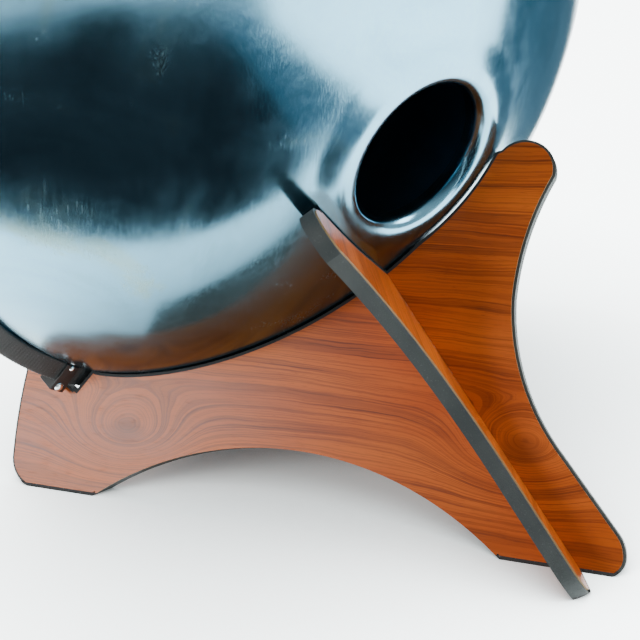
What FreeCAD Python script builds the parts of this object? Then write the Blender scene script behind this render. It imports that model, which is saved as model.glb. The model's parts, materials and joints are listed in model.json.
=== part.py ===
"""Handpan leaning in a display stand of two crossed boards.

The handpan is two steel shells bonded at their flanges, with a rubber band around the rim.
The stand is two equal boards that lean towards each other and cross in a halving joint.
Millimetres, +Z up, X = 0 is the plane of symmetry, the gu port faces +Y.
The origin is on the floor, in the middle of the whole object's box.
"""
import FreeCAD, Part
import math
import os

V = FreeCAD.Vector

# Handpan shells
dome_radius = 257.0          # radius at which the domes would reach the rim plane
wall_radius = 251.5          # where the dome stops and the upright wall starts
flange_radius = 267.0        # outer edge of the two flanges
lower_depth = 136.0          # rim plane to the crown that the gu port is cut in
upper_depth = 112.0          # rim plane to the crown under the ding
dome_power = 2.0
dome_root = 1.32
steel = 1.2                  # shell thickness
wall_draft = 0.6             # how far the upright wall spreads on each side at the flange
glue = 1.0                   # bond line between the flanges
gu_neck_radius = 46.4        # bore of the gu neck
gu_lip_radius = 9.0          # rolled edge of the gu port
gu_lip_rise = 2.0            # how far the lip stands above the dome
gu_neck_straight = 5.0       # straight part of the neck under the lip
lip_blend = 24.0             # dome point next to the lip, measured from its crest
ding_radius = 46.0           # raised dome in the middle of the playing side
ding_height = 13.0
ding_power = 2.2             # how flat the ding's top is
ding_shoulder = 16.0         # flat ring around the ding

# Rubber band around the rim, and the clip that joins its ends
band_radius = 270.0
band_inner_radius = 255.0
band_half_width = 5.5
band_gap = 0.2               # clearance between the band and the flanges
clip_span = 2.6              # degrees of the rim that the clip covers
clip_past_board = 0.9        # degrees from the right board's face to the clip
clip_wall = 1.6
clip_ear = 6.5               # how far the clip reaches past the band, outwards
clip_gap = 0.1               # degrees between the clip and each end of the band
small_rivet = (257.0, 2.0, 1.2)      # distance from the axis, radius and height of the head
large_rivet = (272.8, 3.4, 1.9)

# How the handpan sits
lean = 18.0                  # degrees that the rim plane leans back
rim_seat_u = 350.0           # where the rim crosses a board, along the floor
rim_seat_v = 73.0            # and up the board
seat_gap = 0.4               # clearance between the handpan and the cradle pads
release_radius = 244.0       # on the ding side the cradle tapers from here out to the band
lip_gap = 0.8                # further clearance over the gu lip
rim_gap = 1.2                # further clearance around the band, which crosses the boards askew

# Boards
crossing_rise = 40.0         # degrees from the floor to the line where the boards cross
laminate = 1.0
core = 8.5
edge_band = 1.8              # strip around each board's edge, flush with its inner face
pad = 2.0                    # cradle pad
foot_pad = 2.0
arch_middle = 180.0
arch_height = 45.5
arch_radius = 224.5
arch_zone_half = 138.0       # on each side of the arch's middle, the outer laminate runs to the edge
heel_reach = 34.3            # how far the board runs back past the crossing line, at the floor
heel_radius = 11.9
toe_reach = 386.0            # and forward
toe_radius = 22.0
joint_gap = 0.3              # clearance on each side of the halving joint
joint_middle = 105.0         # distance up the crossing line at which the two slots meet
below_floor = 4.3            # the blank is drawn this far below the floor, then trimmed

board = core + 2.0 * laminate
half_board = board / 2.0

# Directions. The boards stand square to each other, which sets their angle in plan.
rise = math.radians(crossing_rise)
plan = math.atan(math.sin(rise))
crossing = V(0, -math.cos(rise), math.sin(rise))
along = V(math.sin(plan), -math.cos(plan), 0)
face = crossing.cross(along).normalize()
up_board = along.cross(face).normalize()
tilt = math.radians(lean)
gu_axis = V(0, math.cos(tilt), -math.sin(tilt))
rim_down = V(0, -math.sin(tilt), -math.cos(tilt))


def board_point(u, v, w=0.0):
    """Point of the right board: along the floor, up the board, out of its face."""
    return along * u + up_board * v + face * w


def rim_centre():
    """Centre of the rim, with the rim resting at the seat point of both boards."""
    seat = board_point(rim_seat_u, rim_seat_v)
    drop = math.sqrt((band_radius - 1.0) ** 2 - seat.x ** 2)
    centre = seat - rim_down * drop
    return V(0, centre.y, centre.z)


def frame_of(x, y, origin):
    """Placement whose own X and Y axes lie along two square directions."""
    z = x.cross(y)
    return FreeCAD.Placement(FreeCAD.Matrix(x.x, y.x, z.x, origin.x, x.y, y.y, z.y, origin.y,
                                            x.z, y.z, z.z, origin.z, 0, 0, 0, 1))


def handpan_frame():
    """The handpan's own frame: its Z is the gu axis, its Y runs down the rim."""
    return frame_of(V(1, 0, 0), rim_down, rim_centre())


def board_frame():
    """The right board's frame: X along the floor, Y up the board, Z out of its inner face."""
    return frame_of(along, up_board, V(0, 0, 0))


def placed(shape, placement):
    """Copy of a shape carried from its own frame to another."""
    moved = shape.copy()
    moved.Placement = placement.multiply(moved.Placement)
    return moved


def dome(radius, depth):
    """Height of a dome above the rim plane."""
    share = max(0.0, 1.0 - (radius / dome_radius) ** dome_power)
    return depth * share ** (1.0 / dome_root)


def dome_normal(radius, depth):
    step = 0.05
    fall = (dome(radius - step, depth) - dome(radius + step, depth)) / (2 * step)
    size = math.hypot(fall, 1.0)
    return fall / size, 1.0 / size


def dome_points(depth, first, last, count, offset):
    """Points on a dome from one radius to another, moved out along its normal."""
    points = []
    for i in range(count):
        radius = first + (last - first) * i / (count - 1)
        nr, nz = dome_normal(radius, depth)
        points.append((radius + nr * offset, dome(radius, depth) + nz * offset))
    return points


def curve(points):
    """Smooth curve through (radius, height) points in the XZ plane."""
    spline = Part.BSplineCurve()
    spline.interpolate([V(r, 0, z) for r, z in points])
    return spline.toShape()


def line(a, b):
    return Part.makeLine(V(a[0], 0, a[1]), V(b[0], 0, b[1]))


def turn(edges, angle=360.0):
    """Solid made by turning a closed profile about the Z axis."""
    profile = Part.Face(Part.Wire(Part.__sortEdges__(edges)))
    return profile.revolve(V(0, 0, 0), V(0, 0, 1), angle)


def turn_polygon(points, angle=360.0):
    closed = points + [points[0]]
    edges = [line(closed[i], closed[i + 1]) for i in range(len(points))]
    return turn(edges, angle)


def gu_lip(offset):
    """Neck and rolled lip of the gu port, from the neck's inner end to the crest."""
    crest_radius = gu_neck_radius + gu_lip_radius
    centre_z = dome(crest_radius, lower_depth) + gu_lip_rise - gu_lip_radius
    size = gu_lip_radius + offset
    points = [(crest_radius - size, centre_z - gu_neck_straight)]
    for degrees in (180, 155, 130, 110, 90):
        a = math.radians(degrees)
        points.append((crest_radius + size * math.cos(a), centre_z + size * math.sin(a)))
    return points


def shell(outer, inner):
    """Shell between an outer and an inner curve, ended by the upright wall and the flange."""
    low = glue / 2.0
    high = low + steel
    foot = [outer[-1], (wall_radius + wall_draft, high), (flange_radius, high), (flange_radius, low),
            (wall_radius - wall_draft, low), inner[-1]]
    edges = [curve(outer), curve(inner), line(outer[0], inner[0])]
    edges += [line(foot[i], foot[i + 1]) for i in range(len(foot) - 1)]
    return turn(edges)


def make_lower_shell():
    """Gu side: dome, rolled gu neck, upright wall and flange, in one sheet."""
    first = gu_neck_radius + gu_lip_radius + lip_blend
    outer = gu_lip(0.0) + dome_points(lower_depth, first, wall_radius, 16, 0.0)
    inner = gu_lip(-steel) + dome_points(lower_depth, first, wall_radius, 16, -steel)
    return shell(outer, inner)


def ding_points(offset):
    """Raised ding and the ring around it."""
    top = dome(0.0, upper_depth) + ding_height
    points = []
    for share in (0.0, 0.3, 0.6, 0.85):
        radius = ding_radius * share
        points.append((radius, top - ding_height * share ** ding_power + offset))
    return points


def make_upper_shell():
    """Playing side: dome with the ding in its middle, upright wall and flange."""
    first = ding_radius + ding_shoulder
    outer = ding_points(0.0) + dome_points(upper_depth, first, wall_radius, 16, 0.0)
    inner = ding_points(-steel) + dome_points(upper_depth, first, wall_radius, 16, -steel)
    return shell(outer, inner).mirror(V(0, 0, 0), V(0, 0, 1))


def make_flange_bond():
    """Ring of adhesive between the two flanges."""
    half = glue / 2.0
    inside = wall_radius + 1.0
    return turn_polygon([(inside, -half), (flange_radius, -half), (flange_radius, half), (inside, half)])


def channel(inside, outside, half_width):
    """Ring section with a slot that holds the flanges."""
    slot = glue / 2.0 + steel + band_gap
    root = flange_radius + band_gap
    return [(inside, slot), (inside, half_width), (outside, half_width), (outside, -half_width),
            (inside, -half_width), (inside, -slot), (root, -slot), (root, slot)]


def rim_angle_at_board():
    """Angle around the rim, from its lowest point, where it leaves the right board's face."""
    c = rim_centre()
    a = band_radius * face.x
    b = band_radius * face.dot(rim_down)
    reach = math.hypot(a, b)
    return math.degrees(math.atan2(a, b) - math.acos((half_board - face.dot(c)) / reach))


def clip_start():
    """Angle of the clip's near end in the handpan's frame."""
    return 90.0 - rim_angle_at_board() - clip_past_board - clip_span


def spin(shape, degrees):
    shape.rotate(V(0, 0, 0), V(0, 0, 1), degrees)
    return shape


def make_rim_band():
    """Rubber band around the flanges, cut where the clip joins its ends."""
    section = channel(band_inner_radius, band_radius, band_half_width)
    ring = turn_polygon(section, 360.0 - clip_span - 2 * clip_gap)
    return spin(ring, clip_start() + clip_span + clip_gap)


def make_band_clip():
    """Clip over the rim that joins the two ends of the band."""
    section = channel(band_inner_radius, band_radius + clip_ear, band_half_width + clip_wall)
    return spin(turn_polygon(section, clip_span), clip_start())


def make_clip_rivets():
    """Two domed rivet heads on the gu side of the clip."""
    middle = math.radians(clip_start() + clip_span / 2.0)
    top = band_half_width + clip_wall
    heads = []
    for distance, radius, height in (small_rivet, large_rivet):
        ball = (radius ** 2 + height ** 2) / (2 * height)
        base = V(distance * math.cos(middle), distance * math.sin(middle), top)
        head = Part.makeSphere(ball, base + V(0, 0, height - ball))
        heads.append(head.common(Part.makeCylinder(2 * ball, 2 * ball, base)))
    return Part.makeCompound(heads)


def make_envelope(offset):
    """The handpan's outer form, grown by a clearance, as one solid in its own frame.

    On the ding side it tapers from the band to the dome, so that the rim can be lifted out.
    """
    crest_radius = gu_neck_radius + gu_lip_radius
    crest = dome(crest_radius, lower_depth) + gu_lip_rise + lip_gap + offset
    flat = crest_radius + gu_lip_radius / 2.0
    top = [(0.0, crest), (flat / 2.0, crest), (flat, crest)]
    top += dome_points(lower_depth, crest_radius + lip_blend, wall_radius, 16, offset)
    bottom = [(r, -z) for r, z in dome_points(upper_depth, 1.0, release_radius, 16, offset)]
    bottom[0] = (0.0, -upper_depth - offset)
    half = band_half_width + offset + rim_gap
    edge = band_radius + offset + rim_gap
    side = [top[-1], (wall_radius + offset + wall_draft, half), (edge, half), (edge, -half), bottom[-1]]
    edges = [curve(top), curve(bottom), line(bottom[0], top[0])]
    edges += [line(side[i], side[i + 1]) for i in range(len(side) - 1)]
    return turn(edges)


def cradle_cutter(offset):
    """Prism square to the right board that clears the handpan on both of its faces."""
    body = placed(make_envelope(offset), board_frame().inverse().multiply(handpan_frame()))
    reach = 700.0
    sections = []
    for w in (-half_board, half_board):
        sheet = Part.makePlane(2 * reach, 2 * reach, V(-reach, -reach, w))
        section = sheet.common(body).Faces[0]
        section.translate(V(0, 0, -half_board - w))
        sections.append(section)
    both = sections[0].fuse(sections[1]).removeSplitter().Faces[0]
    return Part.Face(both.OuterWire).extrude(V(0, 0, board))


def arc(a, b, c):
    return Part.Arc(V(a[0], a[1], 0), V(b[0], b[1], 0), V(c[0], c[1], 0)).toShape()


def straight(a, b):
    return Part.makeLine(V(a[0], a[1], 0), V(b[0], b[1], 0))


def on_circle(middle, radius, degrees):
    a = math.radians(degrees)
    return middle[0] + radius * math.cos(a), middle[1] + radius * math.sin(a)


def board_outline():
    """Outline of a board before the cradle is cut, in the board's own plane."""
    low = -below_floor
    drop = arch_height + below_floor
    half_arch = math.sqrt(arch_radius ** 2 - (arch_radius - drop) ** 2)
    arch_front = (arch_middle + half_arch, low)
    arch_back = (arch_middle - half_arch, low)
    heel_middle = (heel_radius - heel_reach, heel_radius + low)
    heel_floor = (heel_middle[0], low)
    heel_back = (-heel_reach, heel_middle[1])
    heel_top = (-29.0, 21.6)
    waist_start = (8.0, 63.0)
    waist = (49.0, 158.0)
    tip_start = (32.5, 237.0)
    tip_end = (68.0, 252.0)
    horn_start = (355.0, 112.0)
    horn_end = (382.0, 102.0)
    toe_middle = (toe_reach - toe_radius, toe_radius + low)
    toe_front = (toe_reach, toe_middle[1])
    toe_floor = (toe_middle[0], low)
    edges = [
        arc(heel_floor, on_circle(heel_middle, heel_radius, 225.0), heel_back),
        arc(heel_back, (-32.9, 15.0), heel_top),
        straight(heel_top, waist_start),
        arc(waist_start, (39.5, 113.0), waist),
        arc(waist, (46.5, 190.0), tip_start),
        arc(tip_start, (43.5, 257.5), tip_end),
        straight(tip_end, horn_start),
        arc(horn_start, (371.0, 117.0), horn_end),
        arc(horn_end, (386.5, 60.0), toe_front),
        arc(toe_front, on_circle(toe_middle, toe_radius, 315.0), toe_floor),
        straight(toe_floor, arch_front),
        arc(arch_front, (arch_middle, arch_height), arch_back),
        straight(arch_back, heel_floor),
    ]
    return Part.Face(Part.Wire(edges))


def arch_zone(outline):
    """Part of the outline around the arch, where the outer laminate covers the edge band."""
    margin = 4.0
    corner = V(arch_middle - arch_zone_half, -below_floor, 0)
    return outline.common(Part.makePlane(2 * arch_zone_half, arch_height + margin + below_floor, corner))


def layer(outline, low, high):
    """Slice of a board between two depths."""
    sheet = outline.copy()
    sheet.translate(V(0, 0, low))
    return sheet.extrude(V(0, 0, high - low))


def floor_slab(low, high):
    """Horizontal slab under the whole stand."""
    reach = 1000.0
    return Part.makeBox(2 * reach, 2 * reach, high - low, V(-reach, -reach, low))


def board_pieces():
    """The right board's pieces in place, before the halving joint is cut."""
    outline = board_outline()
    inset = outline.makeOffset2D(-edge_band)
    inner = half_board - laminate
    front = layer(inset, -half_board, -inner).fuse(layer(arch_zone(outline), -half_board, -inner))
    wide_cut = cradle_cutter(seat_gap + pad)
    narrow_cut = cradle_cutter(seat_gap)
    above = floor_slab(foot_pad, 1000.0)
    pieces = {
        "outer_laminate": front.removeSplitter(),
        "inner_laminate": layer(inset, inner, half_board),
        "core": layer(inset, -inner, inner),
        "edge_band": layer(outline.cut(inset), -inner, half_board),
    }
    for name, piece in pieces.items():
        pieces[name] = placed(piece.cut(wide_cut), board_frame()).common(above)
    blank = layer(outline, -half_board, half_board)
    lining = blank.common(wide_cut).cut(narrow_cut)
    pieces["cradle_pad"] = placed(lining, board_frame())
    feet = placed(blank, board_frame()).common(floor_slab(0.0, foot_pad))
    ordered = sorted(feet.Solids, key=lambda s: s.CenterOfMass.y)
    pieces["front_foot_pad"] = ordered[0]
    pieces["back_foot_pad"] = ordered[-1]
    return pieces


def mirrored(vector):
    return V(-vector.x, vector.y, vector.z)


def slot(other_face, own_face, start, end):
    """Box along the crossing line that makes room for the other board."""
    width = board + 2 * joint_gap
    reach = 4 * board
    side = other_face * (width / 2)
    near = crossing * start - own_face * (reach / 2)
    far = crossing * end - own_face * (reach / 2)
    ring = Part.makePolygon([near - side, near + side, far + side, far - side, near - side])
    return Part.Face(ring).extrude(own_face * reach)


def make_boards():
    """Both boards, halved into each other: the right slot opens upwards, the left downwards."""
    other = mirrored(face)
    reach = 1000.0
    right_slot = slot(other, face, joint_middle - joint_gap, reach)
    left_slot = slot(face, other, -reach, joint_middle + joint_gap)
    nodes = {}
    for name, piece in board_pieces().items():
        twin = piece.mirror(V(0, 0, 0), V(1, 0, 0))
        nodes["right_board_" + name] = piece.cut(right_slot)
        nodes["left_board_" + name] = twin.cut(left_slot)
    return nodes


def make_handpan():
    """The handpan's pieces in place."""
    pieces = {
        "upper_shell": make_upper_shell(),
        "lower_shell": make_lower_shell(),
        "flange_bond": make_flange_bond(),
        "rim_band": make_rim_band(),
        "band_clip": make_band_clip(),
        "clip_rivets": make_clip_rivets(),
    }
    return {name: placed(piece, handpan_frame()) for name, piece in pieces.items()}


def move_to_origin(nodes):
    """Put the middle of the whole object's box over the origin."""
    boxes = [shape.optimalBoundingBox() for shape in nodes.values()]
    back = max(box.YMax for box in boxes)
    front = min(box.YMin for box in boxes)
    shift = V(0, -(back + front) / 2.0, 0)
    for shape in nodes.values():
        shape.translate(shift)
    return shift


def main():
    nodes = make_handpan()
    nodes.update(make_boards())
    shift = move_to_origin(nodes)
    print("moved along Y by %.3f" % shift.y)
    os.makedirs("parts", exist_ok=True)
    for name, shape in nodes.items():
        state = "valid" if shape.isValid() else "NOT VALID"
        print("%-28s solids %d volume %.0f %s" % (name, len(shape.Solids), shape.Volume, state))
        shape.exportStep(os.path.join("parts", name + ".step"))


main()
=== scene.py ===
"""Handpan leaning in its stand of two crossed boards: shells, rim band, finishes, camera and stage."""
import bpy
import bmesh
import json
import math
from mathutils import Matrix, Vector, noise


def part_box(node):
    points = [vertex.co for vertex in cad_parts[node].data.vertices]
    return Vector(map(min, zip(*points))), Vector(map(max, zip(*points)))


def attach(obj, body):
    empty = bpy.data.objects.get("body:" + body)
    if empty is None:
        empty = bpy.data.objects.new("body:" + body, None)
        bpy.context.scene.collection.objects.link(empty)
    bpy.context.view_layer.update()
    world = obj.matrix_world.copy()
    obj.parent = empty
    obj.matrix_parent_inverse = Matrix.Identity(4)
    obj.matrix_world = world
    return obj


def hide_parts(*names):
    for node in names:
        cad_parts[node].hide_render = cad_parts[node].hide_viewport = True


bl_info = {
    "name": "Handpan on stand",
    "version": (1, 0, 0),
    "blender": (4, 5, 0),
    "location": "View3D > Sidebar > Handpan",
    "description": "Builds the visible shells, rim band, clip and finishes of a handpan on its stand",
    "category": "Object",
}

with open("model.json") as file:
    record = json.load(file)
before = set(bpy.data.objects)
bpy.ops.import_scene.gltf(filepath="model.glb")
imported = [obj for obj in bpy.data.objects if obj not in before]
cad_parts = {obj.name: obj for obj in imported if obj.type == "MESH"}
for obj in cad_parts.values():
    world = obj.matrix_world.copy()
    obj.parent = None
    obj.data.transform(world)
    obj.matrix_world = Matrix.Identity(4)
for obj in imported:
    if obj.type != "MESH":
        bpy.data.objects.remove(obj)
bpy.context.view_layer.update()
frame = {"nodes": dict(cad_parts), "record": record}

MM = 0.001
BOND_LOW, BOND_HIGH = (Vector(corner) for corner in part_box("flange_bond"))
RIM_CENTRE = (BOND_LOW + BOND_HIGH) / 2.0
LEAN = math.radians(18.0)
GU_AXIS = Vector((0.0, math.cos(LEAN), -math.sin(LEAN)))
RIM_DOWN = Vector((0.0, -math.sin(LEAN), -math.cos(LEAN)))
RISE = math.radians(40.0)
PLAN = math.atan(math.sin(RISE))
CROSSING = Vector((0.0, -math.cos(RISE), math.sin(RISE)))
ALONG = Vector((math.sin(PLAN), -math.cos(PLAN), 0.0))
FACE = CROSSING.cross(ALONG).normalized()
UP_BOARD = ALONG.cross(FACE).normalized()
BOARD_ORIGIN = Vector((0.0, 0.17221, 0.0))

DOME_ROOT = 1.32
LIP_BLEND = 24.0 * MM
FLANGE_FOOT = 0.5 * MM
HAMMERED_FROM = (65.0 * MM, 95.0 * MM)
HAMMERED_TO = (225.0 * MM, 250.0 * MM)
DENTS_PER_METRE = 13.0

DING_BLEND = 16.0 * MM
DING_FALL = 0.86
DING_POWER = 2.2
FAN_RADIUS = 0.4 * MM
FIELD_SIZE = (50.0 * MM, 41.0 * MM)
FIELD_TAPER = 0.035
FIELDS_WITHIN = (60.0 * MM, 235.0 * MM)
FIELD_DEPTH = 1.5 * MM
CREASE_DEPTH, CREASE_WIDTH = 0.5 * MM, 0.07
DIMPLE_DEPTH, DIMPLE_SIZE = 3.2 * MM, 0.42

BAND_SLOT_END = 267.3 * MM
BAND_SLOT_HALF = 1.9 * MM
BAND_BEVEL = 1.6 * MM
CLIP_SPAN = math.radians(2.6)
CLIP_BEVEL, RIVET_BEVEL = 0.35 * MM, 0.1 * MM

FLOOR_HALF = 40.0
# Height of the painted reflection sheets above the floor.
PAINTED_REFLECTION_HEIGHT = 4.0 * MM


def handpan_matrix():
    """From the handpan's own frame, with its Z along the gu axis, to the object's."""
    columns = (Vector((1.0, 0.0, 0.0)), RIM_DOWN, GU_AXIS)
    matrix = Matrix([[columns[c][r] for c in range(3)] for r in range(3)]).to_4x4()
    matrix.translation = RIM_CENTRE
    return matrix


# ---------------------------------------------------------------- properties

class HANDPAN_PG_shells(bpy.types.PropertyGroup):
    dome_radius: bpy.props.FloatProperty(
        name="Dome radius", description="Radius at which the domes would meet the rim plane",
        default=257.0 * MM, unit="LENGTH")
    wall_radius: bpy.props.FloatProperty(
        name="Wall radius", description="Where the dome ends and the upright wall starts",
        default=251.5 * MM, unit="LENGTH")
    flange_radius: bpy.props.FloatProperty(
        name="Flange radius", description="Outer edge of the flanges",
        default=267.0 * MM, unit="LENGTH")
    lower_depth: bpy.props.FloatProperty(
        name="Lower depth", description="Rim plane to the crown of the gu side",
        default=136.0 * MM, unit="LENGTH")
    upper_depth: bpy.props.FloatProperty(
        name="Upper depth", description="Rim plane to the crown of the playing side",
        default=112.0 * MM, unit="LENGTH")
    steel: bpy.props.FloatProperty(
        name="Sheet", description="Thickness of the steel",
        default=1.2 * MM, unit="LENGTH")
    neck_radius: bpy.props.FloatProperty(
        name="Neck radius", description="Bore of the gu neck",
        default=46.4 * MM, unit="LENGTH")
    lip_radius: bpy.props.FloatProperty(
        name="Lip radius", description="Roll of the gu port's edge",
        default=9.0 * MM, unit="LENGTH")
    lip_rise: bpy.props.FloatProperty(
        name="Lip rise", description="How far the lip stands above the dome",
        default=2.0 * MM, unit="LENGTH")
    neck_straight: bpy.props.FloatProperty(
        name="Neck straight", description="Straight part of the neck below the lip",
        default=5.0 * MM, unit="LENGTH")
    ding_radius: bpy.props.FloatProperty(
        name="Ding radius", description="Raised dome in the middle of the playing side",
        default=46.0 * MM, unit="LENGTH")
    ding_height: bpy.props.FloatProperty(
        name="Ding height", description="Height of the ding",
        default=12.0 * MM, unit="LENGTH")
    tone_fields: bpy.props.IntProperty(
        name="Tone fields", description="Hammered fields around the ding",
        default=8, min=5, max=10)
    field_circle: bpy.props.FloatProperty(
        name="Field circle", description="Distance from the middle to the tone fields",
        default=168.0 * MM, unit="LENGTH")


class HANDPAN_PG_rim(bpy.types.PropertyGroup):
    band_radius: bpy.props.FloatProperty(
        name="Band radius", description="Outside of the rubber band",
        default=270.0 * MM, unit="LENGTH")
    band_inner: bpy.props.FloatProperty(
        name="Band inside", description="Inside of the rubber band",
        default=255.0 * MM, unit="LENGTH")
    band_half: bpy.props.FloatProperty(
        name="Band half width", description="Half of the band's width across the rim",
        default=5.5 * MM, unit="LENGTH")
    ribs: bpy.props.IntProperty(
        name="Ribs", description="Ribs around the whole band", default=560, min=60, max=900)
    rib_depth: bpy.props.FloatProperty(
        name="Rib depth", description="Depth of the grooves between ribs",
        default=0.45 * MM, unit="LENGTH")


class HANDPAN_PG_colours(bpy.types.PropertyGroup):
    steel: bpy.props.FloatVectorProperty(
        name="Blued steel", description="Base colour of the nitrided steel",
        subtype="COLOR", size=4, min=0.0, max=1.0, default=(0.145, 0.315, 0.420, 1.0))
    wood_light: bpy.props.FloatVectorProperty(
        name="Wood, light", description="Light colour of the laminate",
        subtype="COLOR", size=4, min=0.0, max=1.0, default=(0.66, 0.135, 0.006, 1.0))
    wood_dark: bpy.props.FloatVectorProperty(
        name="Wood, dark", description="Grain lines of the laminate",
        subtype="COLOR", size=4, min=0.0, max=1.0, default=(0.085, 0.010, 0.002, 1.0))
    floor: bpy.props.FloatVectorProperty(
        name="Floor", description="Studio floor",
        subtype="COLOR", size=4, min=0.0, max=1.0, default=(0.86, 0.90, 0.90, 1.0))


# ---------------------------------------------------------------- node helpers

def new_group(name, inputs, outputs):
    """Shader node group with named sockets. Returns the tree and its two end nodes."""
    tree = bpy.data.node_groups.new(name, "ShaderNodeTree")
    for label, kind, value in inputs:
        socket = tree.interface.new_socket(name=label, in_out="INPUT", socket_type=kind)
        if value is not None:
            socket.default_value = value
    for label, kind in outputs:
        tree.interface.new_socket(name=label, in_out="OUTPUT", socket_type=kind)
    return tree, tree.nodes.new("NodeGroupInput"), tree.nodes.new("NodeGroupOutput")


def link(tree, source, target):
    tree.links.new(source, target)


def math_node(tree, operation, first, second=None, third=None, clamp=False):
    node = tree.nodes.new("ShaderNodeMath")
    node.operation = operation
    node.use_clamp = clamp
    for slot, value in enumerate((first, second, third)):
        if value is None:
            continue
        if isinstance(value, (int, float)):
            node.inputs[slot].default_value = value
        else:
            tree.links.new(value, node.inputs[slot])
    return node.outputs[0]


def mix_colours(tree, factor, first, second, blend="MIX"):
    node = tree.nodes.new("ShaderNodeMix")
    node.data_type = "RGBA"
    node.blend_type = blend
    for socket, value in ((node.inputs[0], factor), (node.inputs[6], first), (node.inputs[7], second)):
        if isinstance(value, (int, float, tuple, list)):
            socket.default_value = value
        else:
            tree.links.new(value, socket)
    return node.outputs[2]


def spread(tree, value, low, high, to_low=0.0, to_high=1.0, smooth=True):
    node = tree.nodes.new("ShaderNodeMapRange")
    node.interpolation_type = "SMOOTHSTEP" if smooth else "LINEAR"
    tree.links.new(value, node.inputs[0])
    for slot, number in enumerate((low, high, to_low, to_high), start=1):
        node.inputs[slot].default_value = number
    return node.outputs[0]


def noise_node(tree, vector, scale, detail=3.0, rough=0.5, distortion=0.0):
    node = tree.nodes.new("ShaderNodeTexNoise")
    node.inputs["Scale"].default_value = scale
    node.inputs["Detail"].default_value = detail
    node.inputs["Roughness"].default_value = rough
    node.inputs["Distortion"].default_value = distortion
    tree.links.new(vector, node.inputs["Vector"])
    return node.outputs[0]


def stretched(tree, vector, scale):
    node = tree.nodes.new("ShaderNodeVectorMath")
    node.operation = "MULTIPLY"
    tree.links.new(vector, node.inputs[0])
    node.inputs[1].default_value = scale
    return node.outputs[0]


def dot_with(tree, vector, direction):
    node = tree.nodes.new("ShaderNodeVectorMath")
    node.operation = "DOT_PRODUCT"
    tree.links.new(vector, node.inputs[0])
    node.inputs[1].default_value = direction
    return node.outputs[1]


def combined(tree, x, y, z):
    node = tree.nodes.new("ShaderNodeCombineXYZ")
    for slot, value in enumerate((x, y, z)):
        if isinstance(value, (int, float)):
            node.inputs[slot].default_value = value
        else:
            tree.links.new(value, node.inputs[slot])
    return node.outputs[0]


def in_frame(tree, place, axes, origin):
    """Coordinates turned into a frame of their own, by the material's own nodes."""
    shift = tree.nodes.new("ShaderNodeVectorMath")
    shift.operation = "SUBTRACT"
    link(tree, place, shift.inputs[0])
    shift.inputs[1].default_value = origin
    return combined(tree, *[dot_with(tree, shift.outputs[0], axis) for axis in axes])


def new_material(name):
    """Material with a Principled shader and the object's own coordinates."""
    material = bpy.data.materials.new(name)
    material.use_nodes = True
    tree = material.node_tree
    shader = tree.nodes["Principled BSDF"]
    place = tree.nodes.new("ShaderNodeTexCoord").outputs["Object"]
    return material, tree, shader, place


def use_group(tree, group, **values):
    node = tree.nodes.new("ShaderNodeGroup")
    node.node_tree = group
    for label, value in values.items():
        socket = node.inputs[label.replace("_", " ")]
        if isinstance(value, (int, float, tuple, list)):
            socket.default_value = value
        else:
            tree.links.new(value, socket)
    return node


def bump(tree, shader, height, strength, distance):
    node = tree.nodes.new("ShaderNodeBump")
    node.inputs["Strength"].default_value = strength
    node.inputs["Distance"].default_value = distance
    tree.links.new(height, node.inputs["Height"])
    tree.links.new(node.outputs[0], shader.inputs["Normal"])


# ---------------------------------------------------------------- shared effects

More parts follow.
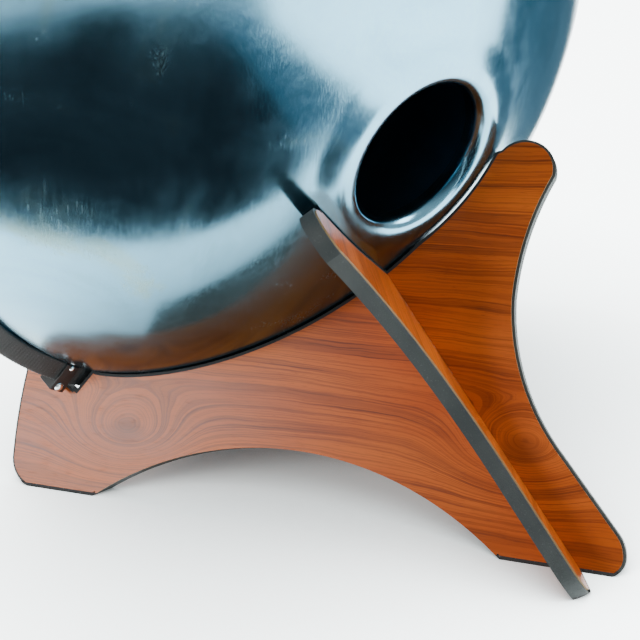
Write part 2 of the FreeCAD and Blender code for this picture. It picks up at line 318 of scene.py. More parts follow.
def wood_group():
    """Flowing grain with closed rings around two knots, and short dark pores along it."""
    tree, given, made = new_group(
        "wood_grain",
        [("Vector", "NodeSocketVector", None), ("Spacing", "NodeSocketFloat", 260.0),
         ("First Knot", "NodeSocketVector", (0.302, 0.043, 0.0)),
         ("Second Knot", "NodeSocketVector", (0.033, 0.065, 0.0)),
         ("Knot Size", "NodeSocketFloat", 0.025)],
        [("Grain", "NodeSocketFloat"), ("Pores", "NodeSocketFloat"),
         ("Knot", "NodeSocketFloat"), ("Tone", "NodeSocketFloat")])
    vector = given.outputs["Vector"]
    split = tree.nodes.new("ShaderNodeSeparateXYZ")
    link(tree, vector, split.inputs[0])
    across = split.outputs[1]
    wander = noise_node(tree, stretched(tree, vector, (2.2, 6.0, 4.0)), 1.0, 2.0, 0.5)
    wander = math_node(tree, "MULTIPLY", math_node(tree, "SUBTRACT", wander, 0.5), 0.060)
    ripple = noise_node(tree, stretched(tree, vector, (16.0, 42.0, 20.0)), 1.0, 3.0, 0.55)
    ripple = math_node(tree, "MULTIPLY", math_node(tree, "SUBTRACT", ripple, 0.5), 0.006)
    field = math_node(tree, "ADD", math_node(tree, "ADD", across, wander), ripple)
    knots = None
    for label in ("First Knot", "Second Knot"):
        gap = tree.nodes.new("ShaderNodeVectorMath")
        gap.operation = "SUBTRACT"
        link(tree, vector, gap.inputs[0])
        link(tree, given.outputs[label], gap.inputs[1])
        oval = stretched(tree, gap.outputs[0], (0.62, 1.0, 0.0))
        size = tree.nodes.new("ShaderNodeVectorMath")
        size.operation = "LENGTH"
        link(tree, oval, size.inputs[0])
        near = math_node(tree, "DIVIDE", size.outputs[1], given.outputs["Knot Size"])
        squared = math_node(tree, "POWER", near, 2.0)
        hill = math_node(tree, "EXPONENT", math_node(tree, "MULTIPLY", squared, -1.0))
        knots = hill if knots is None else math_node(tree, "ADD", knots, hill)
    field = math_node(tree, "ADD", field, math_node(tree, "MULTIPLY", knots, 0.062))
    rings = math_node(tree, "MULTIPLY", field, given.outputs["Spacing"])
    flow = combined(tree, math_node(tree, "MULTIPLY", split.outputs[0], 3.0), rings, 0.7)
    broad = spread(tree, noise_node(tree, flow, 0.80, 2.0, 0.45), 0.48, 0.62)
    fine = spread(tree, noise_node(tree, flow, 3.2, 3.0, 0.65), 0.46, 0.62)
    uneven = noise_node(tree, stretched(tree, vector, (9.0, 30.0, 10.0)), 1.0, 2.0, 0.5)
    grain = math_node(tree, "ADD", math_node(tree, "MULTIPLY", broad, 0.52),
                      math_node(tree, "MULTIPLY", fine, 0.55))
    grain = math_node(tree, "MULTIPLY", grain, spread(tree, uneven, 0.3, 0.7, 0.55, 1.0))
    pores = noise_node(tree, stretched(tree, vector, (110.0, 1500.0, 200.0)), 1.0, 2.0, 0.6)
    pores = spread(tree, pores, 0.57, 0.72)
    tone = noise_node(tree, stretched(tree, vector, (5.0, 22.0, 8.0)), 1.0, 3.0, 0.6)
    link(tree, grain, made.inputs["Grain"])
    link(tree, pores, made.inputs["Pores"])
    link(tree, math_node(tree, "MINIMUM", knots, 1.0), made.inputs["Knot"])
    link(tree, tone, made.inputs["Tone"])
    return tree


def speckle_group():
    """Fine pebbled surface of moulded or foamed pieces, with a slow change of tone."""
    tree, given, made = new_group(
        "speckle", [("Vector", "NodeSocketVector", None), ("Scale", "NodeSocketFloat", 1600.0)],
        [("Height", "NodeSocketFloat"), ("Tone", "NodeSocketFloat"), ("Dust", "NodeSocketFloat")])
    vector = given.outputs["Vector"]
    cells = tree.nodes.new("ShaderNodeTexVoronoi")
    link(tree, vector, cells.inputs["Vector"])
    link(tree, given.outputs["Scale"], cells.inputs["Scale"])
    fine = tree.nodes.new("ShaderNodeTexNoise")
    link(tree, vector, fine.inputs["Vector"])
    link(tree, given.outputs["Scale"], fine.inputs["Scale"])
    height = math_node(tree, "MULTIPLY", cells.outputs["Distance"], fine.outputs[0])
    slow = noise_node(tree, vector, 24.0, 3.0, 0.6)
    dust = spread(tree, noise_node(tree, vector, 900.0, 1.0, 0.5), 0.66, 0.74)
    link(tree, height, made.inputs["Height"])
    link(tree, slow, made.inputs["Tone"])
    link(tree, dust, made.inputs["Dust"])
    return tree


def wear_group():
    """Fine drawn scratches and soft smudges of handled metal."""
    tree, given, made = new_group(
        "handling_marks",
        [("Vector", "NodeSocketVector", None), ("Fineness", "NodeSocketFloat", 1.0)],
        [("Scratches", "NodeSocketFloat"), ("Smudges", "NodeSocketFloat"), ("Mottle", "NodeSocketFloat")])
    vector = given.outputs["Vector"]
    scaled = tree.nodes.new("ShaderNodeVectorMath")
    scaled.operation = "SCALE"
    link(tree, vector, scaled.inputs[0])
    link(tree, given.outputs["Fineness"], scaled.inputs["Scale"])
    fine = scaled.outputs[0]
    upright = noise_node(tree, stretched(tree, fine, (1300.0, 30.0, 1300.0)), 1.0, 2.0, 0.55)
    short = noise_node(tree, stretched(tree, fine, (2600.0, 160.0, 2600.0)), 1.0, 1.0, 0.5)
    marks = math_node(tree, "ADD", math_node(tree, "MULTIPLY", upright, 0.6),
                      math_node(tree, "MULTIPLY", short, 0.4))
    smudge = noise_node(tree, vector, 11.0, 5.0, 0.62, 0.8)
    mottle = noise_node(tree, vector, 55.0, 4.0, 0.6, 0.4)
    link(tree, marks, made.inputs["Scratches"])
    link(tree, smudge, made.inputs["Smudges"])
    link(tree, mottle, made.inputs["Mottle"])
    return tree


GROUPS = {}


def group(name):
    """Each shared effect is built once."""
    makers = {"wood_grain": wood_group, "speckle": speckle_group, "handling_marks": wear_group}
    if name not in GROUPS:
        GROUPS[name] = makers[name]()
    return GROUPS[name]


# ---------------------------------------------------------------- materials

def steel_material(colours):
    """Nitrided steel: blue with darker and straw clouds, drawn grain, smudges."""
    material, tree, shader, place = new_material("nitrided_steel")
    own = in_frame(tree, place, ((1.0, 0.0, 0.0), RIM_DOWN, GU_AXIS), RIM_CENTRE)
    marks = use_group(tree, group("handling_marks"), Vector=own, Fineness=1.0)
    smudge = marks.outputs["Smudges"]
    base = tuple(colours.steel)
    deep = tuple(c * 0.80 for c in base[:3]) + (1.0,)
    straw = (0.23, 0.32, 0.27, 1.0)
    colour = mix_colours(tree, spread(tree, smudge, 0.30, 0.60), deep, base)
    colour = mix_colours(tree, spread(tree, smudge, 0.56, 0.72, 0.0, 0.55), colour, straw)
    streak = spread(tree, marks.outputs["Scratches"], 0.45, 0.70, 0.0, 0.10)
    colour = mix_colours(tree, streak, colour, (0.34, 0.52, 0.60, 1.0))
    link(tree, colour, shader.inputs["Base Color"])
    rough = spread(tree, smudge, 0.3, 0.75, 0.13, 0.24)
    rough = math_node(tree, "ADD", rough, spread(tree, marks.outputs["Scratches"], 0.4, 0.7, -0.01, 0.05))
    rough = math_node(tree, "ADD", rough, spread(tree, marks.outputs["Mottle"], 0.4, 0.7, 0.0, 0.03))
    link(tree, rough, shader.inputs["Roughness"])
    shader.inputs["Metallic"].default_value = 1.0
    bump(tree, shader, marks.outputs["Scratches"], 0.14, 0.0001)
    return material


def wood_material(name, side):
    """Wood-grain laminate on one board. Its cut edge is pale."""
    colours = bpy.context.scene.handpan_colours
    material, tree, shader, place = new_material(name)
    along = Vector((ALONG.x * side, ALONG.y, ALONG.z))
    up = Vector((UP_BOARD.x * side, UP_BOARD.y, UP_BOARD.z))
    out = Vector((FACE.x * side, FACE.y, FACE.z))
    own = in_frame(tree, place, (along, up, out), BOARD_ORIGIN)
    wood = use_group(tree, group("wood_grain"), Vector=own)
    light = tuple(colours.wood_light)
    dark = tuple(colours.wood_dark)
    mid = (0.48, 0.080, 0.003, 1.0)
    colour = mix_colours(tree, spread(tree, wood.outputs["Tone"], 0.3, 0.7), mid, light)
    colour = mix_colours(tree, math_node(tree, "MULTIPLY", wood.outputs["Grain"], 0.80), colour, dark)
    colour = mix_colours(tree, math_node(tree, "MULTIPLY", wood.outputs["Pores"], 0.30), colour, dark)
    colour = mix_colours(tree, spread(tree, wood.outputs["Knot"], 0.80, 1.0, 0.0, 0.45), colour, dark)
    facing = dot_with(tree, tree.nodes.new("ShaderNodeNewGeometry").outputs["True Normal"], out)
    cut_edge = math_node(tree, "LESS_THAN", math_node(tree, "ABSOLUTE", facing), 0.5)
    colour = mix_colours(tree, cut_edge, colour, (0.62, 0.40, 0.20, 1.0))
    link(tree, colour, shader.inputs["Base Color"])
    rough = math_node(tree, "ADD", spread(tree, wood.outputs["Tone"], 0.2, 0.8, 0.30, 0.40),
                      math_node(tree, "MULTIPLY", wood.outputs["Pores"], 0.14))
    link(tree, rough, shader.inputs["Roughness"])
    shader.inputs["Coat Weight"].default_value = 0.12
    shader.inputs["Coat Roughness"].default_value = 0.28
    shader.inputs["Specular IOR Level"].default_value = 0.35
    bump(tree, shader, wood.outputs["Pores"], 0.12, 0.0002)
    return material


def speckled_material(name, base, worn, rough, scale, depth, dust=0.0, metallic=0.0):
    """Rubber, foam or moulded plastic with a pebbled skin."""
    material, tree, shader, place = new_material(name)
    fine = use_group(tree, group("speckle"), Vector=place, Scale=scale)
    colour = mix_colours(tree, spread(tree, fine.outputs["Tone"], 0.35, 0.7), base, worn)
    if dust:
        colour = mix_colours(tree, math_node(tree, "MULTIPLY", fine.outputs["Dust"], dust), colour,
                             (0.35, 0.36, 0.35, 1.0))
    link(tree, colour, shader.inputs["Base Color"])
    roughness = spread(tree, fine.outputs["Height"], 0.0, 0.5, rough, rough + 0.15)
    link(tree, roughness, shader.inputs["Roughness"])
    shader.inputs["Metallic"].default_value = metallic
    bump(tree, shader, fine.outputs["Height"], 0.5, depth)
    return material


def plain_finishes():
    """Finishes of the small and hidden pieces, by material name."""
    return {
        "edge_band": speckled_material("edge_band_finish", (0.030, 0.036, 0.036, 1.0),
                                       (0.050, 0.058, 0.056, 1.0), 0.55, 1500.0, 0.0004, 0.1),
        "cradle_pad": speckled_material("cradle_pad_finish", (0.012, 0.012, 0.012, 1.0),
                                        (0.022, 0.022, 0.022, 1.0), 0.7, 2200.0, 0.0003),
        "foot_pad": speckled_material("foot_pad_finish", (0.015, 0.015, 0.016, 1.0),
                                      (0.03, 0.03, 0.03, 1.0), 0.65, 1800.0, 0.0003, 0.4),
        "core": speckled_material("board_core_finish", (0.42, 0.27, 0.14, 1.0),
                                  (0.52, 0.36, 0.20, 1.0), 0.75, 900.0, 0.0004),
        "bond": speckled_material("bond_finish", (0.03, 0.03, 0.03, 1.0),
                                  (0.05, 0.05, 0.05, 1.0), 0.4, 700.0, 0.0002),
    }


# ---------------------------------------------------------------- mesh helpers

def new_object(name, mesh, material, body):
    piece = bpy.data.objects.new(name, mesh)
    bpy.context.scene.collection.objects.link(piece)
    if material is not None:
        mesh.materials.append(material)
    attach(piece, body)
    return piece


def shade_smooth(mesh, angle=math.radians(40.0)):
    for polygon in mesh.polygons:
        polygon.use_smooth = True
    mesh.set_sharp_from_angle(angle=angle)


def ring_mesh(name, loop, segments, shift=None, start=0.0, span=2.0 * math.pi, place=None):
    """Closed mesh made by turning a closed (radius, height) loop about the handpan's axis.

    shift(radius, height, angle, index) may move each point; a partial turn gets end caps.
    """
    full = abs(span - 2.0 * math.pi) < 1e-6
    count = segments if full else segments + 1
    built = bmesh.new()
    rows = []
    for s in range(count):
        angle = start + span * s / segments
        row = []
        for index, (radius, height) in enumerate(loop):
            if shift:
                radius, height = shift(radius, height, angle, index)
            row.append(built.verts.new((radius * math.cos(angle), radius * math.sin(angle), height)))
        rows.append(row)
    for s in range(segments):
        near, far = rows[s], rows[(s + 1) % count]
        for i in range(len(loop)):
            j = (i + 1) % len(loop)
            built.faces.new((near[i], near[j], far[j], far[i]))
    if not full:
        built.faces.new(rows[0])
        built.faces.new(list(reversed(rows[-1])))
    bmesh.ops.recalc_face_normals(built, faces=built.faces)
    if place is not None:
        bmesh.ops.transform(built, matrix=place, verts=built.verts)
    mesh = bpy.data.meshes.new(name)
    built.to_mesh(mesh)
    built.free()
    return mesh


def dome(radius, depth, size):
    share = max(0.0, 1.0 - (radius / size) ** 2)
    return depth * share ** (1.0 / DOME_ROOT)


def dome_slope(radius, depth, size):
    step = 0.05 * MM
    return (dome(radius + step, depth, size) - dome(radius - step, depth, size)) / (2.0 * step)


def eased(first, last, slope_first, slope_last, t, width):
    """Cubic from one height to another with given slopes at both ends."""
    a = 2 * t ** 3 - 3 * t ** 2 + 1
    b = t ** 3 - 2 * t ** 2 + t
    c = -2 * t ** 3 + 3 * t ** 2
    d = t ** 3 - t ** 2
    return a * first + b * slope_first * width + c * last + d * slope_last * width


def smooth_step(low, high, value):
    t = min(1.0, max(0.0, (value - low) / (high - low)))
    return t * t * (3.0 - 2.0 * t)


def inset_profile(points, distance):
    """The same curve moved to the sheet's inner side."""
    moved = []
    for i, (r, z) in enumerate(points):
        a = points[max(0, i - 1)]
        b = points[min(len(points) - 1, i + 1)]
        dr, dz = b[0] - a[0], b[1] - a[1]
        size = math.hypot(dr, dz)
        moved.append((r + dz / size * distance, z - dr / size * distance))
    return moved


def lower_profile(shells):
    """Outer face of the lower shell from the neck's inner end to the flange."""
    crest_r = shells.neck_radius + shells.lip_radius
    crest_z = dome(crest_r, shells.lower_depth, shells.dome_radius) + shells.lip_rise
    centre_z = crest_z - shells.lip_radius
    points = [(shells.neck_radius, centre_z - shells.neck_straight * (1.0 - i / 5.0)) for i in range(5)]
    for i in range(19):
        angle = math.pi - math.pi / 2 * i / 18
        points.append((crest_r + shells.lip_radius * math.cos(angle),
                       centre_z + shells.lip_radius * math.sin(angle)))
    join = crest_r + LIP_BLEND
    join_z = dome(join, shells.lower_depth, shells.dome_radius)
    slope = dome_slope(join, shells.lower_depth, shells.dome_radius)
    for i in range(1, 12):
        t = i / 12.0
        points.append((crest_r + (join - crest_r) * t,
                       eased(crest_z, join_z, 0.0, slope, t, join - crest_r)))
    rows = 90
    for i in range(rows + 1):
        t = i / rows
        radius = join + (shells.wall_radius - join) * (1.0 - (1.0 - t) ** 1.35)
        points.append((radius, dome(radius, shells.lower_depth, shells.dome_radius)))
    return points


def flange_profile(shells, last, low, high):
    """Wall and flange from the end of the dome out and back under."""
    wall = shells.wall_radius
    return [(wall + 0.4 * MM, last * 0.82), (wall + 0.6 * MM, last * 0.55),
            (wall + 0.6 * MM, high + 1.6 * MM), (wall + 0.9 * MM, high + 0.5 * MM), (wall + 1.8 * MM, high),
            (shells.flange_radius - 0.2 * MM, high), (shells.flange_radius, high - 0.2 * MM),
            (shells.flange_radius, low + 0.2 * MM), (shells.flange_radius - 0.2 * MM, low),
            (wall, low)]


def dent(x, y, z):
    """Slight unevenness left by hammering, as a signed distance."""
    spot = Vector((x, y, z)) * DENTS_PER_METRE
    return noise.noise(spot) * 0.25 * MM


def uneven_shift(radius, height, angle, index):
    """Dents of the gu side, fading out towards the port and the wall."""
    fade = smooth_step(*HAMMERED_FROM, radius) * (1.0 - smooth_step(*HAMMERED_TO, radius))
    if fade <= 0.0:
        return radius, height
    return radius, height + dent(radius * math.cos(angle), radius * math.sin(angle), 0.3) * fade


# ---------------------------------------------------------------- operators

class HANDPAN_OT_lower_shell(bpy.types.Operator):
    """Gu side of the handpan: dome, rolled neck and flange in one sheet"""
    bl_idname = "handpan.lower_shell"
    bl_label = "Lower shell"

    def execute(self, context):
        shells = context.scene.handpan_shells
        outer = lower_profile(shells)
        inner = inset_profile(outer, shells.steel)
        flange = flange_profile(shells, outer[-1][1], FLANGE_FOOT, FLANGE_FOOT + shells.steel)
        loop = outer + flange + list(reversed(inner))
        mesh = ring_mesh("lower_shell_visual", loop, 384, uneven_shift, place=handpan_matrix())
        shade_smooth(mesh)
        steel = steel_material(context.scene.handpan_colours)
        piece = new_object("lower_shell_visual", mesh, steel, "handpan")
        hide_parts("lower_shell")
        return {"FINISHED"}


class HANDPAN_OT_upper_shell(bpy.types.Operator):
    """Playing side of the handpan: ding, ring of tone fields with dimples, flange"""
    bl_idname = "handpan.upper_shell"
    bl_label = "Upper shell"

    def execute(self, context):
        shells = context.scene.handpan_shells
        outer = upper_profile(shells)
        inner = inset_profile(outer, shells.steel)
        flange = flange_profile(shells, outer[-1][1], FLANGE_FOOT, FLANGE_FOOT + shells.steel)
        loop = outer + flange + list(reversed(inner))
        turned = [(r, -z) for r, z in loop]
        mesh = disc_mesh("upper_shell_visual", turned, len(outer) + len(flange), 448,
                         field_shift(shells), handpan_matrix())
        shade_smooth(mesh)
        # This name belongs to the frame's plain steel, so the playing side has no scratches or smudges.
        steel = bpy.data.materials["nitrided_steel"]
        piece = new_object("upper_shell_visual", mesh, steel, "handpan")
        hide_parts("upper_shell")
        return {"FINISHED"}


def upper_profile(shells):
    """Outer face of the playing side from next to the axis to the wall."""
    shoulder = shells.ding_radius + DING_BLEND
    top = dome(0.0, shells.upper_depth, shells.dome_radius) + shells.ding_height
    shoulder_z = dome(shoulder, shells.upper_depth, shells.dome_radius)
    slope = dome_slope(shoulder, shells.upper_depth, shells.dome_radius)
    points = []
    for i in range(36):
        radius = FAN_RADIUS + (shoulder - FAN_RADIUS) * i / 36.0
        share = radius / shells.ding_radius
        cap = top - shells.ding_height * DING_FALL * min(share, 1.0) ** DING_POWER
        ring = shoulder_z - slope * (shoulder - radius) - 0.8 * MM
        blend = smooth_step(0.72, 1.18, share)
        points.append((radius, cap * (1.0 - blend) + ring * blend))
    rows = 130
    for i in range(rows + 1):
        t = i / rows
        radius = shoulder + (shells.wall_radius - shoulder) * (1.0 - (1.0 - t) ** 1.25)
        points.append((radius, dome(radius, shells.upper_depth, shells.dome_radius)))
    return points


def field_push(shells, x, y):
    """How far the tone fields press the sheet in at a point of the playing side."""
    push = 0.0
    for k in range(shells.tone_fields):
        angle = 2.0 * math.pi * (k + 0.5) / shells.tone_fields
        cx, cy = shells.field_circle * math.cos(angle), shells.field_circle * math.sin(angle)
        size = 1.0 - FIELD_TAPER * k
        radial = (x - cx) * math.cos(angle) + (y - cy) * math.sin(angle)
        tangent = -(x - cx) * math.sin(angle) + (y - cy) * math.cos(angle)
        far = math.hypot(radial / (FIELD_SIZE[0] * size), tangent / (FIELD_SIZE[1] * size))
        if far > 1.3:
            continue
        flat = 1.0 - smooth_step(0.80, 1.08, far)
        crease = math.exp(-((far - 1.0) / CREASE_WIDTH) ** 2)
        dimple = 1.0 - smooth_step(0.0, DIMPLE_SIZE, far)
        push += FIELD_DEPTH * flat + CREASE_DEPTH * crease + DIMPLE_DEPTH * dimple
    return push


def field_shift(shells):
    """Shift of the playing side's points: tone fields and slight dents."""
    def shift(radius, height, angle, index):
        if radius < FIELDS_WITHIN[0] or radius > FIELDS_WITHIN[1]:
            return radius, height
        x, y = radius * math.cos(angle), radius * math.sin(angle)
        push = field_push(shells, x, y) + dent(x, y, 2.3) * 0.8
        return radius, height + push
    return shift


def disc_mesh(name, loop, outer_count, segments, shift, place):
    """Closed shell turned about the axis, with a small fan in the middle of each face."""
    built = bmesh.new()
    rows = []
    for s in range(segments):
        angle = 2.0 * math.pi * s / segments
        row = []
        for index, (radius, height) in enumerate(loop):
            radius, height = shift(radius, height, angle, index)
            row.append(built.verts.new((radius * math.cos(angle), radius * math.sin(angle), height)))
        rows.append(row)
    last = len(loop) - 1
    for s in range(segments):
        near, far = rows[s], rows[(s + 1) % segments]
        for i in range(last):
            built.faces.new((near[i], near[i + 1], far[i + 1], far[i]))
    for end in (0, last):
        middle = built.verts.new((0.0, 0.0, loop[end][1]))
        for s in range(segments):
            built.faces.new((middle, rows[s][end], rows[(s + 1) % segments][end]))
    bmesh.ops.recalc_face_normals(built, faces=built.faces)
    bmesh.ops.transform(built, matrix=place, verts=built.verts)
    mesh = bpy.data.meshes.new(name)
    built.to_mesh(mesh)
    built.free()
    return mesh


class HANDPAN_OT_rim_band(bpy.types.Operator):
    """Ribbed rubber band around the rim"""
    bl_idname = "handpan.rim_band"
    bl_label = "Rim band"

    def execute(self, context):
        rim = context.scene.handpan_rim
        start, span = clip_arc()
        loop = band_loop(rim)
        in_slot = [abs(z) < BAND_SLOT_HALF + 0.2 * MM and r < BAND_SLOT_END + 0.2 * MM for r, z in loop]
        segments = rim.ribs * 3

        def shift(radius, height, angle, index):
            if in_slot[index]:
                return radius, height
            phase = (angle * rim.ribs / (2.0 * math.pi)) % 1.0
            groove = 0.5 - 0.5 * math.cos(2.0 * math.pi * phase)
            depth = rim.rib_depth * (1.0 - groove)
            return radius - depth * 0.8, height * (1.0 - depth / rim.band_half * 0.8)

        mesh = ring_mesh("rim_band_visual", loop, segments, shift, start + span,
                         2.0 * math.pi - span, handpan_matrix())
        shade_smooth(mesh, math.radians(60.0))
        finish = speckled_material("rim_band_finish", (0.020, 0.021, 0.021, 1.0),
                                   (0.042, 0.044, 0.044, 1.0), 0.42, 1900.0, 0.0003, 0.2)
        piece = new_object("rim_band_visual", mesh, finish, "handpan")
        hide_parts("rim_band")
        return {"FINISHED"}


def clip_arc():
    """Start angle and span of the clip, read from its box in the handpan's frame."""
    low, high = (Vector(corner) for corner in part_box("band_clip"))
    centre = handpan_matrix().inverted() @ ((low + high) / 2.0)
    return math.atan2(centre.y, centre.x) - CLIP_SPAN / 2.0, CLIP_SPAN


def band_loop(rim):
    """Section of the band: rounded outside, slot for the flanges inside."""
    r0, r1, h = rim.band_inner, rim.band_radius, rim.band_half
    bevel = BAND_BEVEL
    points = [(r0, BAND_SLOT_HALF), (r0, h - 0.8 * MM), (r0 + 0.3 * MM, h - 0.2 * MM), (r0 + 0.9 * MM, h)]
    for i in range(1, 6):
        points.append((r0 + 0.9 * MM + (r1 - bevel - r0 - 0.9 * MM) * i / 6.0, h))
    for i in range(6):
        angle = math.pi / 2 * (1.0 - i / 5.0)
        points.append((r1 - bevel + bevel * math.cos(angle), h - bevel + bevel * math.sin(angle)))
    points.append((r1, 2.0 * MM))
    points.append((r1, 0.0))
    mirror = [(r, -z) for r, z in reversed(points[:-1])]
    return points + mirror + [(BAND_SLOT_END, -BAND_SLOT_HALF), (BAND_SLOT_END, BAND_SLOT_HALF)]


class HANDPAN_OT_clip(bpy.types.Operator):
    """Clip that joins the band's ends, with its two rivets"""
    bl_idname = "handpan.clip"
    bl_label = "Band clip and rivets"

    def execute(self, context):
        black = speckled_material("clip_finish", (0.008, 0.008, 0.008, 1.0),
                                  (0.016, 0.016, 0.016, 1.0), 0.35, 1500.0, 0.0002)
        bright = speckled_material("rivet_finish", (0.80, 0.82, 0.82, 1.0),
                                   (0.68, 0.70, 0.70, 1.0), 0.16, 500.0, 0.00005, 0.0, 1.0)
        for node, slot, bevel, material in (("band_clip", "clip", CLIP_BEVEL, black),
                                            ("clip_rivets", "rivet", RIVET_BEVEL, bright)):
            piece = rounded_copy(node, bevel, material)
            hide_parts(node)
        return {"FINISHED"}


def rounded_copy(node, width, material):
    """Piece in a CAD node's place, with its edges rounded."""
    source = frame["nodes"][node]
    mesh = source.data.copy()
    mesh.materials.clear()
    built = bmesh.new()
    built.from_mesh(mesh)
    bmesh.ops.remove_doubles(built, verts=built.verts, dist=0.01 * MM)
    bmesh.ops.dissolve_limit(built, angle_limit=math.radians(2.0), verts=built.verts, edges=built.edges)
    sharp = [e for e in built.edges if len(e.link_faces) == 2 and e.calc_face_angle() > math.radians(35.0)]
    bmesh.ops.bevel(built, geom=sharp, offset=width, segments=3, profile=0.6, affect="EDGES",
                    clamp_overlap=True)
    built.to_mesh(mesh)
    built.free()
    shade_smooth(mesh)
    return new_object(node + "_visual", mesh, material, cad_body(node))


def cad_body(node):
    """Body that a node rides on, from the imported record."""
    for body, nodes in frame["record"]["behaviour"]["bodies"].items():
        if node in nodes:
            return body
    raise RuntimeError("no body holds " + node)


class HANDPAN_OT_boards(bpy.types.Operator):
    """Finishes of both boards: laminates, cores, edge bands and pads"""
    bl_idname = "handpan.boards"
    bl_label = "Board finishes"

    def execute(self, context):
        finishes = plain_finishes()
        for side, prefix in ((1.0, "right_board_"), (-1.0, "left_board_")):
            wood = wood_material(prefix + "laminate_finish", side)
            assign(prefix + "outer_laminate", wood)
            assign(prefix + "inner_laminate", wood)
            assign(prefix + "core", finishes["core"])
            assign(prefix + "edge_band", finishes["edge_band"])
            assign(prefix + "cradle_pad", finishes["cradle_pad"])
            assign(prefix + "front_foot_pad", finishes["foot_pad"])
            assign(prefix + "back_foot_pad", finishes["foot_pad"])
        assign("flange_bond", finishes["bond"])
        return {"FINISHED"}


def assign(node, material):
    """Give a CAD node its finish."""
    slots = frame["nodes"][node].material_slots
    if not slots:
        frame["nodes"][node].data.materials.append(material)
    for place in slots:
        place.material = material


FLOOR_GLOW = 7.0
# Painted reflections: glowing sheets seen only in glossy reflections, each with its outline on the floor
# and its colour.
PAINTED_REFLECTION_SHEETS = (
    ("painted_reflection_camera_side", ((0.03, 0.24), (0.16, 0.12), (0.32, 0.01), (0.50, -0.14), (7.0, -2.2), (7.0, 7.0),
                          (1.6, 7.0), (0.50, 1.6), (0.13, 0.62), (0.03, 0.36)), (0.060, 0.068, 0.075, 1.0)),
    ("painted_reflection_middle", ((0.03, 0.26), (0.03, 0.36), (0.13, 0.62), (0.50, 1.6), (1.6, 7.0), (0.6, 7.0),
                     (0.16, 1.6), (-0.05, 0.78), (-0.14, 0.56), (-0.10, 0.40), (-0.03, 0.33)),
     (0.30, 0.46, 0.58, 1.0)),
    ("painted_reflection_left", ((-0.40, -0.14), (-0.46, 0.10), (-0.72, 0.36), (-1.3, 0.60), (-5.0, 2.0), (-5.0, -1.8),
                   (-1.0, -0.48), (-0.6, -0.28)), (0.16, 0.32, 0.42, 1.0)),
    # Painted reflection of the board and of the shaded floor under the handpan.
    ("painted_reflection_under", ((-0.16, -0.12), (0.13, -0.14), (0.16, -0.02), (0.02, 0.16), (-0.10, 0.12)),
     (0.30, 0.24, 0.20, 1.0)),
)


class HANDPAN_OT_stage(bpy.types.Operator):
    """Wide pale floor, glowing sheets of painted reflection that the steel mirrors, soft lights,
    surroundings and the camera
    """
    bl_idname = "handpan.stage"
    bl_label = "Stage"

    def execute(self, context):
        make_floor(context.scene.handpan_colours)
        make_painted_reflections()
        make_lights()
        make_world(context.scene)
        make_camera(context.scene)
        return {"FINISHED"}


def make_floor(colours):
    """Wide flat floor. Its glow is seen by the camera and in reflections, and lights nothing. Ambient
    occlusion darkens the glow near the stand: a painted soft shadow.
    """
    built = bmesh.new()
    corners = [built.verts.new((x * FLOOR_HALF, y * FLOOR_HALF, 0.0))
               for x, y in ((-1, -1), (1, -1), (1, 1), (-1, 1))]
    built.faces.new(corners)
    mesh = bpy.data.meshes.new("floor")
    built.to_mesh(mesh)
    built.free()
    floor = bpy.data.objects.new("floor", mesh)
    bpy.context.scene.collection.objects.link(floor)
    material, tree, shader, place = new_material("floor_finish")
    paper = noise_node(tree, place, 180.0, 2.0, 0.5)
    base = tuple(colours.floor)
    shade = tuple(c * 0.985 for c in base[:3]) + (1.0,)
    link(tree, mix_colours(tree, paper, shade, base), shader.inputs["Base Color"])
    shader.inputs["Roughness"].default_value = 0.7
    shader.inputs["Specular IOR Level"].default_value = 0.2
    # Ambient occlusion darkens the floor's glow near the stand and handpan: a painted soft shadow.
    painted_shadow_ao = tree.nodes.new("ShaderNodeAmbientOcclusion")
    painted_shadow_ao.samples = 8
    painted_shadow_ao.inputs["Distance"].default_value = 0.30
    rays = tree.nodes.new("ShaderNodeLightPath")
    seen = math_node(tree, "MAXIMUM", rays.outputs["Is Camera Ray"], rays.outputs["Is Glossy Ray"])
    glow_with_painted_shadow = math_node(tree, "POWER", painted_shadow_ao.outputs["AO"], 2.2)
    shader.inputs["Emission Color"].default_value = (0.93, 1.0, 1.0, 1.0)
    link(tree, math_node(tree, "MULTIPLY", math_node(tree, "MULTIPLY", glow_with_painted_shadow, seen), FLOOR_GLOW),
         shader.inputs["Emission Strength"])
    mesh.materials.append(material)


def make_painted_reflections():
    """Glowing sheets just above the floor, which show only in reflections: painted reflections of dark and
    bluish surroundings, and of the board and shaded floor under the handpan.
    """
    for name, outline, shade in PAINTED_REFLECTION_SHEETS:
        built = bmesh.new()
        built.faces.new([built.verts.new((x, y, PAINTED_REFLECTION_HEIGHT)) for x, y in outline])
        mesh = bpy.data.meshes.new(name)
        built.to_mesh(mesh)
        built.free()
        reflection_sheet = bpy.data.objects.new(name, mesh)
        bpy.context.scene.collection.objects.link(reflection_sheet)
        material, tree, shader, place = new_material(name + "_finish")
        # Painted reflection: the sheet's glow, mottled by noise.
        reflection_mottle = noise_node(tree, place, 40.0, 2.0, 0.5)
        dull = tuple(c * 0.7 for c in shade[:3]) + (1.0,)
        link(tree, mix_colours(tree, reflection_mottle, dull, shade), shader.inputs["Emission Color"])
        shader.inputs["Emission Strength"].default_value = 1.0
        shader.inputs["Base Color"].default_value = (0.0, 0.0, 0.0, 1.0)
        shader.inputs["Specular IOR Level"].default_value = 0.0
        mesh.materials.append(material)
        for ray in ("visible_camera", "visible_diffuse", "visible_shadow", "visible_transmission"):
            setattr(reflection_sheet, ray, False)


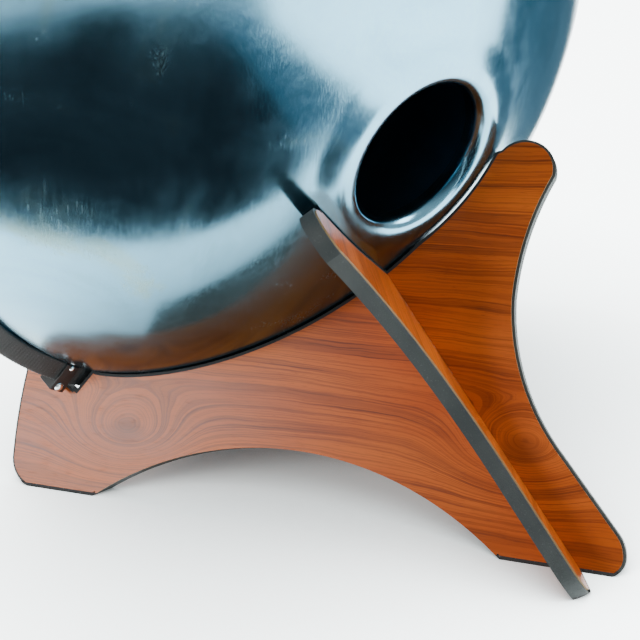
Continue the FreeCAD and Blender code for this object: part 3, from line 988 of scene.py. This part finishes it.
def area_light(name, place, target, size, power, tint=(1.0, 1.0, 1.0)):
    data = bpy.data.lights.new(name, "AREA")
    data.shape = "RECTANGLE"
    data.size, data.size_y = size
    data.energy = power
    data.color = tint
    lamp = bpy.data.objects.new(name, data)
    bpy.context.scene.collection.objects.link(lamp)
    lamp.location = place
    lamp.rotation_euler = (Vector(target) - Vector(place)).to_track_quat("-Z", "Y").to_euler()
    return lamp


def make_lights():
    """Soft boxes around the object."""
    middle = (0.0, 0.0, 0.22)
    area_light("key", (-1.5, 1.3, 1.7), middle, (1.0, 1.0), 42.0, (0.93, 1.0, 1.0))
    area_light("sheen", (1.50, -0.15, 0.72), (0.18, -0.10, 0.05), (0.70, 0.50), 16.0, (1.0, 0.98, 0.96))
    area_light("front", (0.0, -2.2, 1.6), middle, (1.6, 1.2), 30.0)


def make_world(scene):
    """Soft surroundings, pale towards the window side, and plain pale where the camera sees them."""
    world = bpy.data.worlds.new("studio")
    scene.world = world
    world.use_nodes = True
    tree = world.node_tree
    background = tree.nodes["Background"]
    way = tree.nodes.new("ShaderNodeTexCoord").outputs["Generated"]
    window = spread(tree, dot_with(tree, way, (-0.78, 0.62, 0.0)), -0.35, 0.75)
    around = mix_colours(tree, window, (0.10, 0.13, 0.15, 1.0), (0.93, 1.0, 1.0, 1.0))
    seen = tree.nodes.new("ShaderNodeLightPath").outputs["Is Camera Ray"]
    link(tree, mix_colours(tree, seen, around, (7.2, 7.7, 7.7, 1.0)),
         background.inputs["Color"])
    background.inputs["Strength"].default_value = 1.0


def make_camera(scene):
    """Camera behind and to the right, looking down at the gu side and the crossing boards."""
    place = Vector((0.4741, 0.5657, 0.4619))
    sight = Vector((-0.54685, -0.72119, -0.42525)).normalized()
    top = Vector((-0.30307, -0.30297, 0.90353)).normalized()
    side = sight.cross(top).normalized()
    top = side.cross(sight)
    data = bpy.data.cameras.new("camera")
    data.lens = 68.87
    data.sensor_width = 36.0
    data.shift_y = -0.01875
    data.clip_start = 0.01
    data.clip_end = 200.0
    camera = bpy.data.objects.new("camera", data)
    scene.collection.objects.link(camera)
    matrix = Matrix([[side[r], top[r], -sight[r]] for r in range(3)]).to_4x4()
    matrix.translation = place
    camera.matrix_world = matrix
    scene.camera = camera


# ---------------------------------------------------------------- panel and registration

OPERATORS = (HANDPAN_OT_stage, HANDPAN_OT_lower_shell, HANDPAN_OT_upper_shell, HANDPAN_OT_rim_band,
             HANDPAN_OT_clip, HANDPAN_OT_boards)


class HANDPAN_PT_panel(bpy.types.Panel):
    """Sizes, colours and builders of the handpan"""
    bl_idname = "HANDPAN_PT_panel"
    bl_label = "Handpan"
    bl_space_type = "VIEW_3D"
    bl_region_type = "UI"
    bl_category = "Handpan"

    def draw(self, context):
        layout = self.layout
        for settings in (context.scene.handpan_shells, context.scene.handpan_rim,
                         context.scene.handpan_colours):
            box = layout.box()
            for key in settings.__annotations__:
                box.prop(settings, key)
        for operator in OPERATORS:
            layout.operator(operator.bl_idname)


CLASSES = (HANDPAN_PG_shells, HANDPAN_PG_rim, HANDPAN_PG_colours) + OPERATORS + (HANDPAN_PT_panel,)


def register():
    for cls in CLASSES:
        bpy.utils.register_class(cls)
    bpy.types.Scene.handpan_shells = bpy.props.PointerProperty(type=HANDPAN_PG_shells)
    bpy.types.Scene.handpan_rim = bpy.props.PointerProperty(type=HANDPAN_PG_rim)
    bpy.types.Scene.handpan_colours = bpy.props.PointerProperty(type=HANDPAN_PG_colours)


def unregister():
    del bpy.types.Scene.handpan_colours
    del bpy.types.Scene.handpan_rim
    del bpy.types.Scene.handpan_shells
    for cls in reversed(CLASSES):
        bpy.utils.unregister_class(cls)


def main():
    register()
    bpy.ops.handpan.stage()
    bpy.ops.handpan.lower_shell()
    bpy.ops.handpan.upper_shell()
    bpy.ops.handpan.rim_band()
    bpy.ops.handpan.clip()
    bpy.ops.handpan.boards()


if __name__ == "__main__":
    main()
